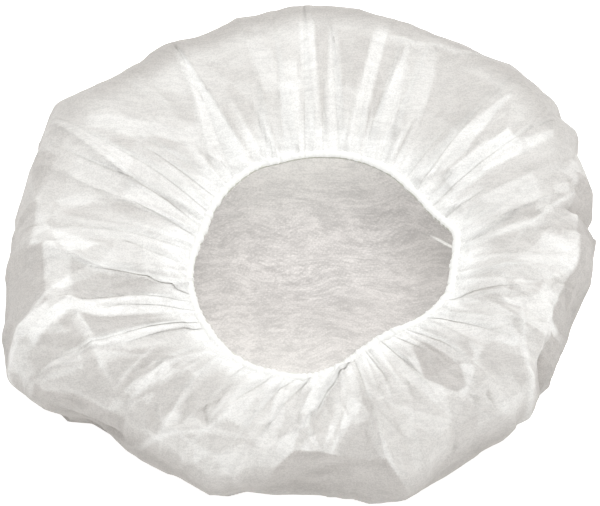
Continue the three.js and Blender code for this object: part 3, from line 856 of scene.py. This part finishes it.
def crumple_strength(angles, along):
    """How strongly the sheet is crumpled at each point."""
    near = 1 - smoothstep(np.sin(np.radians(angles)), -0.3, 0.4)
    strength = 0.22 + 0.14 * near * smoothstep(along, 0.4, 0.8)
    far = smoothstep(np.sin(np.radians(angles)), 0.5, 0.9)
    strength += 0.6 * far * smoothstep(along, 0.9, 1.1)
    for at, place, more, wide, long in zip(*CRUMPLED.values()):
        turn = (angles - at + 180) % 360 - 180
        strength += more * (1 - smoothstep(np.hypot(turn / wide, (along - place) / long), 0, 1.6))
    return strength * smoothstep(along, 0.08, 0.5) * (1 - smoothstep(along, 1.5, 2.0))


def edge_shade(angles, along):
    """How far the cloth greys towards its outer edge, where the far wall turns away sooner."""
    far = smoothstep(np.sin(np.radians(angles)), 0.1, 0.9)
    far_edge = smoothstep(along, 0.66, 0.84) * lerp(1, 0.4, smoothstep(along, 0.95, 1.15))
    return 0.9 * lerp(smoothstep(along, 0.92, 1.0), far_edge, far)


def under_shade(angles, along):
    """The shade below the outer edge, deepest on the near side."""
    near = 1 - smoothstep(np.sin(np.radians(angles)), -0.6, 0.3)
    return lerp(0.3, 1, near) * smoothstep(along, 0.94, 1.08) * (1 - smoothstep(along, 1.9, 2.1))


def build_cloth():
    """The whole sheet as one mesh, with its folds, its flat map and the values that its material reads."""
    bands = [np.linspace(start, end, count, endpoint=False) for start, end, count in ROW_BANDS]
    shares = np.concatenate(bands + [[ROW_BANDS[-1][1]]])
    angles, lifts, first, second = sheet_grid(shares)
    columns, rows = angles.shape
    share = np.broadcast_to(shares[None, :], angles.shape)
    along = on_wall("along", angles, share)
    radius = on_wall("radius", angles, share)
    height = on_wall("height", angles, share)
    out_radius = on_wall("out_radius", angles, share)
    out_height = on_wall("out_height", angles, share)

    disc = DISC_RADIUS * (1 - share)
    disc_x = disc * np.cos(np.radians(angles))
    disc_y = disc * np.sin(np.radians(angles))
    places = np.stack([disc_x, disc_y], axis=-1).reshape(-1, 2)
    coarse, coarse_tone = crumple(SEED, CRUMPLE_SIZES[0], places).reshape(2, *angles.shape)
    fine, fine_tone = crumple(SEED + 1, CRUMPLE_SIZES[1], places).reshape(2, *angles.shape)
    finest, _ = crumple(SEED + 2, CRUMPLE_SIZES[2], places).reshape(2, *angles.shape)

    pleated = pleat_cover(angles, radius, first, second)
    tucked, taut_and_shaded = patch_tones(angles, along, radius)
    creased, pale, dark = crease_relief(angles, along)
    ripple, reaches = gather_pattern(angles)
    gathered = np.clip(1 - along / reaches, 0, 1)
    rough = crumple_strength(angles, along)
    shift = lifts + creased + TUCK_HEIGHT * tucked - dent_depth(angles, along)
    shift = shift + GATHER_HEIGHT * ripple * gathered * lerp(0.4, 1, smoothstep(along, 0, 0.05))
    facets = CRUMPLE_HEIGHTS[0] * coarse + CRUMPLE_HEIGHTS[1] * fine + CRUMPLE_HEIGHTS[2] * finest
    shift = shift + MM * rough * facets
    shift = shift + CROWN_CRUMPLE * fine * smoothstep(along, 1.6, 2)

    radius = radius + shift * out_radius
    height = np.maximum(height + shift * out_height, FLOOR_GAP)
    x = MOUTH_X + radius * np.cos(np.radians(angles))
    y = MOUTH_Y + radius * np.sin(np.radians(angles))
    verts = np.stack([x, y, height], axis=-1).reshape(-1, 3)
    middle = len(verts)
    verts = np.vstack([verts, [MOUTH_X, MOUTH_Y, FLOOR_GAP]])

    index = np.arange(columns * rows).reshape(columns, rows)
    here, there = index, np.roll(index, -1, axis=0)
    quads = np.stack([here[:, :-1], here[:, 1:], there[:, 1:], there[:, :-1]], axis=-1).reshape(-1, 4)
    fan = np.stack([here[:, -1], np.full(columns, middle), there[:, -1]], axis=-1)
    mesh = bpy.data.meshes.new("cap_cloth")
    mesh.from_pydata(verts.tolist(), [], quads.tolist() + fan.tolist())
    cloth = bpy.data.objects.new("cap_cloth", mesh)
    bpy.context.scene.collection.objects.link(cloth)

    disc_angle = np.radians(np.arange(columns) * 360 / columns)[:, None]
    flat_u = (0.5 + disc / (2 * DISC_RADIUS) * np.cos(disc_angle)).reshape(-1)
    flat_v = (0.5 + disc / (2 * DISC_RADIUS) * np.sin(disc_angle)).reshape(-1)
    flat = np.vstack([np.stack([flat_u, flat_v], axis=-1), [0.5, 0.5]])
    layer = mesh.uv_layers.new(name="flat_disc")
    corners = np.empty(len(mesh.loops), int)
    mesh.loops.foreach_get("vertex_index", corners)
    layer.data.foreach_set("uv", flat[corners].reshape(-1))

    band = 1.2 * np.exp(-((along / 0.16) ** 2))
    band = band + 0.7 * np.clip(1.3 - along / reaches, 0, 1) * (0.4 + 0.6 * ripple)
    # Painted light and shade: each crumple facet is whitened or greyed by its tone, as if lit at its own
    # slant
    facet_light_and_shade = np.clip(1.5 * rough, 0, 1) * (FACET_LIGHT_AND_SHADE * coarse_tone + FACET_LIGHT_AND_SHADE * fine_tone)
    edge = edge_shade(angles, along)
    white = np.maximum(np.maximum(pleated * PLEAT_WHITE, tucked), np.maximum(band, pale))
    white = np.clip(np.maximum(white, facet_light_and_shade), 0, 1)
    # Grey holds taut single layers together with painted shade from the patches, the outer edge and the
    # facets
    grey = np.maximum(np.maximum(taut_and_shaded, edge), -facet_light_and_shade)
    grey = grey * (1 - np.clip(np.maximum(1.4 * band, pale), 0, 1))
    # The layers value whitens layered cloth, and also carries painted light and shade: facet tones, pale
    # crease ridges, grey patches and the greying outer edge
    point_value(mesh, "layers", lerp(ONE_LAYER * (1 - grey), 1, white * (1 - grey)))
    point_value(mesh, "inside", smoothstep(along, 2.1, 2.35))
    # Painted shade: the cloth is darkened in the valleys of its folds, along the dark crease lines,
    # towards its outer edge and below it
    valley = lerp(valley_share(x, y, height), 1, 0.5 * np.clip(band, 0, 1))
    lit = valley * (1 - LINE_DARKNESS * dark) * (1 - EDGE_DARKNESS * edge)
    point_value(mesh, "painted_shade", lit * (1 - UNDER_DARKNESS * under_shade(angles, along)))
    mesh.shade_smooth()
    mesh.set_sharp_from_angle(angle=SHARP_CLOTH)
    return cloth


def valley_share(x, y, z):
    """1 on flat cloth, less in valleys, from how far each point lies under its neighbours; it paints shade
    into the valleys.
    """
    place = np.stack([x, y, z], axis=-1)
    across = (np.roll(place, 2, axis=0) + np.roll(place, -2, axis=0)) / 2 - place
    side = np.roll(place, -2, axis=0) - np.roll(place, 2, axis=0)
    down = np.gradient(place, axis=1)
    normal = np.cross(down, side)
    normal /= np.maximum(np.linalg.norm(normal, axis=-1, keepdims=True), 1e-12)
    sunk = (across * normal).sum(-1) / np.maximum(np.linalg.norm(side, axis=-1), 0.5 * MM)
    return 1 - 1.5 * np.clip(sunk, 0, 0.5)


def point_value(mesh, name, values):
    """Keeps a value for each point of the grid, and the last one for the middle of the crown."""
    attribute = mesh.attributes.new(name, "FLOAT", "POINT")
    flat = values.reshape(-1)
    attribute.data.foreach_set("value", np.append(flat, flat[-1]).astype(np.float32))


def ring_mesh(name, columns, section, shape):
    """A ring along the mouth, from a closed section in millimetres; shape moves each of its points."""
    degrees = np.arange(columns) * 360 / columns
    edge = MOUTH_RADIUS * around("mouth", degrees)
    smooth_edge = np.array(edge)
    for _ in range(int(columns / 40)):
        smooth_edge = (np.roll(smooth_edge, 1) + smooth_edge + np.roll(smooth_edge, -1)) / 3
    verts = []
    for column, (angle, radius) in enumerate(zip(np.radians(degrees), smooth_edge)):
        for point, (out, up) in enumerate(section):
            out, up = shape(column, point, out, up)
            reach = radius + out * MM
            x = MOUTH_X + reach * math.cos(angle)
            y = MOUTH_Y + reach * math.sin(angle)
            verts.append((x, y, RIM_HEIGHT + up * MM))
    size = len(section)
    faces = []
    for column in range(columns):
        here, there = column * size, (column + 1) % columns * size
        for point in range(size):
            follow = (point + 1) % size
            faces.append((here + point, there + point, there + follow, here + follow))
    mesh = bpy.data.meshes.new(name)
    mesh.from_pydata(verts, [], faces)
    mesh.shade_smooth()
    mesh.set_sharp_from_angle(angle=SHARP_RING)
    ring = bpy.data.objects.new(name, mesh)
    bpy.context.scene.collection.objects.link(ring)
    return ring


def build_hem():
    """The sheet's edge rolled round the elastic, puckered, with an open lip on its inner side."""
    rng = np.random.default_rng(SEED + 3)
    bumps = rng.uniform(-1, 1, HEM_PUCKERS)
    leans = rng.uniform(-1, 1, HEM_PUCKERS)
    place = np.arange(HEM_COLUMNS) * HEM_PUCKERS / HEM_COLUMNS
    low = np.floor(place).astype(int) % HEM_PUCKERS
    part = place - np.floor(place)
    bump = lerp(bumps[low], bumps[(low + 1) % HEM_PUCKERS], part)
    lean = lerp(leans[low], leans[(low + 1) % HEM_PUCKERS], part)
    section = []
    for step in range(HEM_STEPS):
        angle = math.radians(HEM_OPENS_AT + step * HEM_TURN / (HEM_STEPS - 1))
        section.append((HEM_ROLL + HEM_ROLL * math.cos(angle), HEM_RISE * math.sin(angle)))
    section += HEM_LIP

    def pucker(column, point, out, up):
        """Swells and tilts the roll, and leaves the lip as it is."""
        if point >= HEM_STEPS:
            return out, up
        grow = 1 + PUCKER_SWELL * bump[column]
        return HEM_ROLL + (out - HEM_ROLL) * grow, up * grow + PUCKER_LEAN * lean[column]

    return ring_mesh("hem_roll", HEM_COLUMNS, section, pucker)


def build_elastic():
    """The narrow elastic in the hem, an even strip."""

    def even(column, point, out, up):
        """Leaves the section as it is."""
        return out, up

    return ring_mesh("elastic_strip", ELASTIC_COLUMNS, ELASTIC_SECTION, even)


def node_material(name):
    """An empty node material, with its nodes and links."""
    material = bpy.data.materials.new(name)
    material.use_nodes = True
    material.node_tree.nodes.clear()
    return material, material.node_tree.nodes, material.node_tree.links


def arithmetic(nodes, links, operation, first, second):
    """A math node; either side may be a socket or a number."""
    made = nodes.new("ShaderNodeMath")
    made.operation = operation
    for socket, value in zip(made.inputs, (first, second)):
        if isinstance(value, (int, float)):
            socket.default_value = value
        else:
            links.new(value, socket)
    return made.outputs[0]


def mapped(nodes, links, place, kind, scale, shift=(0, 0, 0), turn=0):
    """The same place in another frame, for a texture that is stretched, moved or turned."""
    mapping = nodes.new("ShaderNodeMapping")
    mapping.vector_type = kind
    mapping.inputs["Location"].default_value = shift
    mapping.inputs["Scale"].default_value = scale
    mapping.inputs["Rotation"].default_value = (0, 0, math.radians(turn))
    links.new(place, mapping.inputs["Vector"])
    return mapping.outputs[0]


def streaks(nodes, links, place, scale, turn, detail):
    """Noise drawn out along the cloth's fibres."""
    noise = nodes.new("ShaderNodeTexNoise")
    noise.inputs["Scale"].default_value = 1.0
    noise.inputs["Detail"].default_value = detail
    noise.inputs["Roughness"].default_value = 0.65
    noise.inputs["Distortion"].default_value = 0.6
    links.new(mapped(nodes, links, place, "POINT", scale, turn=turn), noise.inputs["Vector"])
    return noise.outputs["Fac"]


def drifting(nodes, links, place):
    """The place moved about in slow waves, so that the fibres wander instead of running straight."""
    noise = nodes.new("ShaderNodeTexNoise")
    noise.inputs["Scale"].default_value = DRIFT_SCALE
    noise.inputs["Detail"].default_value = 1
    links.new(place, noise.inputs["Vector"])
    shift = nodes.new("ShaderNodeVectorMath")
    shift.operation = "MULTIPLY_ADD"
    shift.inputs[1].default_value = (DRIFT, DRIFT, DRIFT)
    links.new(noise.outputs["Color"], shift.inputs[0])
    links.new(place, shift.inputs[2])
    return shift.outputs[0]


def spot(nodes, links, place, middle, size, turn=0):
    """1 in the middle of an oval spot, falling to 0 at its edge."""
    gradient = nodes.new("ShaderNodeTexGradient")
    gradient.gradient_type = "SPHERICAL"
    links.new(mapped(nodes, links, place, "TEXTURE", size, middle, turn), gradient.inputs["Vector"])
    return gradient.outputs["Fac"]


def bond_points(nodes, links):
    """The heat-bonded dots of the web, in rows across the flat sheet."""
    dots = nodes.new("ShaderNodeTexVoronoi")
    dots.inputs["Scale"].default_value = BOND_ROWS
    dots.inputs["Randomness"].default_value = 0.25
    flat_disc = nodes.new("ShaderNodeTexCoord").outputs["UV"]
    slanted = mapped(nodes, links, flat_disc, "POINT", (1, 1, 1), turn=45)
    links.new(slanted, dots.inputs["Vector"])
    return span(nodes, links, dots.outputs["Distance"], *BOND_SIZE, 1, 0)


def blend_colour(nodes, links, factor, first, second):
    """A colour between two; each may be a socket or a colour."""
    mix = nodes.new("ShaderNodeMix")
    mix.data_type = "RGBA"
    links.new(factor, mix.inputs[0])
    for socket, colour in ((mix.inputs[6], first), (mix.inputs[7], second)):
        if isinstance(colour, tuple):
            socket.default_value = (*colour, 1)
        else:
            links.new(colour, socket)
    return mix.outputs[2]


def scaled_colour(nodes, links, colour, factor):
    """A colour darkened by a factor; the colour may be a socket or a constant."""
    scale = nodes.new("ShaderNodeVectorMath")
    scale.operation = "SCALE"
    if isinstance(colour, tuple):
        scale.inputs[0].default_value = colour
    else:
        links.new(colour, scale.inputs[0])
    links.new(factor, scale.inputs["Scale"])
    return scale.outputs[0]


def span(nodes, links, value, low, high, to_low, to_high):
    """A value stretched from one range to another and held inside it."""
    stretch = nodes.new("ShaderNodeMapRange")
    for index, limit in enumerate((low, high, to_low, to_high), start=1):
        stretch.inputs[index].default_value = limit
    links.new(value, stretch.inputs[0])
    return stretch.outputs[0]


def point_socket(nodes, name):
    """A value that the cloth's mesh keeps for each of its points."""
    attribute = nodes.new("ShaderNodeAttribute")
    attribute.attribute_name = name
    return attribute.outputs["Fac"]


def nonwoven_material(name, layered):
    """Thin spunbond cloth: whiter where layers lie over each other, with drawn-out fibres, and with
    painted light and shade from the cloth's points and on the crown inside.
    """
    material, nodes, links = node_material(name)
    output = nodes.new("ShaderNodeOutputMaterial")
    place = nodes.new("ShaderNodeTexCoord").outputs["Object"]
    drift = drifting(nodes, links, place)
    fibres = streaks(nodes, links, drift, FIBRE_SCALE, FIBRE_TURN, 4)
    clouds = streaks(nodes, links, drift, CLOUD_SCALE, FIBRE_TURN, 3)
    grain = streaks(nodes, links, place, GRAIN_SCALE, 0, 1)
    grain = arithmetic(nodes, links, "MULTIPLY", grain, GRAIN_SHARE)
    mottle = arithmetic(nodes, links, "ADD", fibres, arithmetic(nodes, links, "ADD", clouds, grain))
    thin = span(nodes, links, mottle, *MOTTLE_NOISE, *(MOTTLE_RANGE if layered else HEM_MOTTLE_RANGE))
    colour = LAYERED_CLOTH
    if layered:
        # The layers value: real layering, with painted light and shade mixed in
        layers = point_socket(nodes, "layers")
        inside = point_socket(nodes, "inside")
        slack = span(nodes, links, layers, 0, ONE_LAYER, 0, 1)
        single = blend_colour(nodes, links, slack, TAUT_AND_SHADED_CLOTH, SINGLE_CLOTH)
        doubled = span(nodes, links, layers, ONE_LAYER, 1, 0, 1)
        outer = blend_colour(nodes, links, doubled, single, LAYERED_CLOTH)
        web = arithmetic(nodes, links, "ADD", fibres, clouds)
        # The bond dots, a real pattern of the web, are painted lighter as small glints
        dots = arithmetic(nodes, links, "MULTIPLY", bond_points(nodes, links), BOND_GLINT)
        web = arithmetic(nodes, links, "ADD", span(nodes, links, web, *WEB_NOISE, *WEB_RANGE), dots)
        # The crown inside: its darker colour, two paler spots and a darker spot are painted light and
        # shade of the hollow; a pale line marks a small fold
        crown = scaled_colour(nodes, links, SHADED_CROWN_CLOTH, web)
        for glow in CROWN_GLOWS:
            crown = blend_colour(nodes, links, spot(nodes, links, place, *glow), crown, SINGLE_CLOTH)
        hollow = spot(nodes, links, place, *CROWN_SHADE)
        shade = arithmetic(nodes, links, "MULTIPLY", hollow, CROWN_SHADE_DEPTH)
        crown = blend_colour(nodes, links, shade, crown, PAINTED_SHADE_CLOTH)
        fold = span(nodes, links, spot(nodes, links, place, *CROWN_FOLD), 0, 0.5, 0, 1)
        crown = blend_colour(nodes, links, fold, crown, LAYERED_CLOTH)
        colour = blend_colour(nodes, links, inside, outer, crown)
        # Painted shade kept on the cloth's points darkens the colour in valleys, crease lines, the edge
        # and the underside
        colour = blend_colour(nodes, links, point_socket(nodes, "painted_shade"), PAINTED_SHADE_CLOTH, colour)
    cloth_colour = scaled_colour(nodes, links, colour, thin)
    bump = nodes.new("ShaderNodeBump")
    bump.inputs["Strength"].default_value = 0.4
    bump.inputs["Distance"].default_value = FIBRE_RELIEF
    links.new(fibres, bump.inputs["Height"])
    surface = nodes.new("ShaderNodeBsdfPrincipled")
    surface.inputs["Roughness"].default_value = CLOTH_ROUGHNESS
    links.new(cloth_colour, surface.inputs["Base Color"])
    links.new(bump.outputs[0], surface.inputs["Normal"])
    through = nodes.new("ShaderNodeBsdfTranslucent")
    links.new(cloth_colour, through.inputs["Color"])
    mix = nodes.new("ShaderNodeMixShader")
    mix.inputs[0].default_value = HEM_THROUGH
    if layered:
        through_wall = span(nodes, links, layers, 0, 1, ONE_LAYER_THROUGH, LAYERED_THROUGH)
        through_crown = arithmetic(nodes, links, "MULTIPLY", inside, CROWN_THROUGH)
        links.new(arithmetic(nodes, links, "MAXIMUM", through_wall, through_crown), mix.inputs[0])
    links.new(surface.outputs[0], mix.inputs[1])
    links.new(through.outputs[0], mix.inputs[2])
    links.new(mix.outputs[0], output.inputs["Surface"])
    return material


def plain_material(name, colour, roughness):
    """A material of one even colour."""
    material, nodes, links = node_material(name)
    output = nodes.new("ShaderNodeOutputMaterial")
    surface = nodes.new("ShaderNodeBsdfPrincipled")
    surface.inputs["Roughness"].default_value = roughness
    surface.inputs["Base Color"].default_value = (*colour, 1)
    links.new(surface.outputs[0], output.inputs["Surface"])
    return material


def make_camera():
    """The photograph's view: from far off with a long lens, level from side to side."""
    camera = bpy.data.cameras.new("photo_camera")
    camera.lens = LENS_MM
    camera.sensor_width = SENSOR_MM
    camera.sensor_fit = "HORIZONTAL"
    holder = bpy.data.objects.new("photo_camera", camera)
    bpy.context.scene.collection.objects.link(holder)
    distance = SEEN_WIDTH * LENS_MM / SENSOR_MM
    aim = Vector(CAMERA_AIM)
    back = Vector((0, -math.cos(VIEW_ELEVATION), math.sin(VIEW_ELEVATION)))
    holder.location = aim + back * distance
    holder.rotation_euler = (-back).to_track_quat("-Z", "Y").to_euler()
    camera.clip_end = 20
    bpy.context.scene.camera = holder


def area_light(name, place, aim, size, power):
    """A rectangular light at a place, turned towards aim."""
    light = bpy.data.lights.new(name, "AREA")
    light.shape = "RECTANGLE"
    light.size, light.size_y = size
    light.energy = power
    holder = bpy.data.objects.new(name, light)
    holder.location = place
    holder.rotation_euler = (Vector(aim) - Vector(place)).to_track_quat("-Z", "Y").to_euler()
    bpy.context.scene.collection.objects.link(holder)


def make_studio():
    """Soft even light, pale surroundings and a pale floor under the cap."""
    scene = bpy.context.scene
    scene.view_settings.view_transform = "Standard"
    world = bpy.data.worlds.new("studio")
    world.use_nodes = True
    background = world.node_tree.nodes["Background"]
    background.inputs["Color"].default_value = (1, 1, 1, 1)
    background.inputs["Strength"].default_value = WORLD_STRENGTH
    scene.world = world
    area_light("overhead_softbox", SOFTBOX_PLACE, SOFTBOX_AIM, SOFTBOX_SIZE, SOFTBOX_WATTS)
    floor = bpy.data.meshes.new("floor")
    half = FLOOR_HALF
    corners = [(-half, -half, 0), (half, -half, 0), (half, half, 0), (-half, half, 0)]
    floor.from_pydata(corners, [], [(0, 1, 2, 3)])
    holder = bpy.data.objects.new("floor", floor)
    pale = plain_material("pale_floor", FLOOR_COLOUR, 0.9)
    surface = pale.node_tree.nodes["Principled BSDF"]
    surface.inputs["Emission Color"].default_value = (1, 1, 1, 1)
    surface.inputs["Emission Strength"].default_value = FLOOR_GLOW
    floor.materials.append(pale)
    scene.collection.objects.link(holder)


make_camera()
make_studio()
cloth = build_cloth()
cloth.data.materials.append(nonwoven_material("spunbond_nonwoven", True))
hem = build_hem()
hem.data.materials.append(nonwoven_material("hem_nonwoven", False))
elastic = build_elastic()
elastic.data.materials.append(plain_material("elastic", ELASTIC_COLOUR, 0.6))

for piece, node, slot in (
    (cloth, "cap_shell", "nonwoven_cloth"),
    (hem, "gathered_hem", "hem_cloth"),
    (elastic, "elastic_band", "elastic"),
):
    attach(piece, "root")
    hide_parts(node)
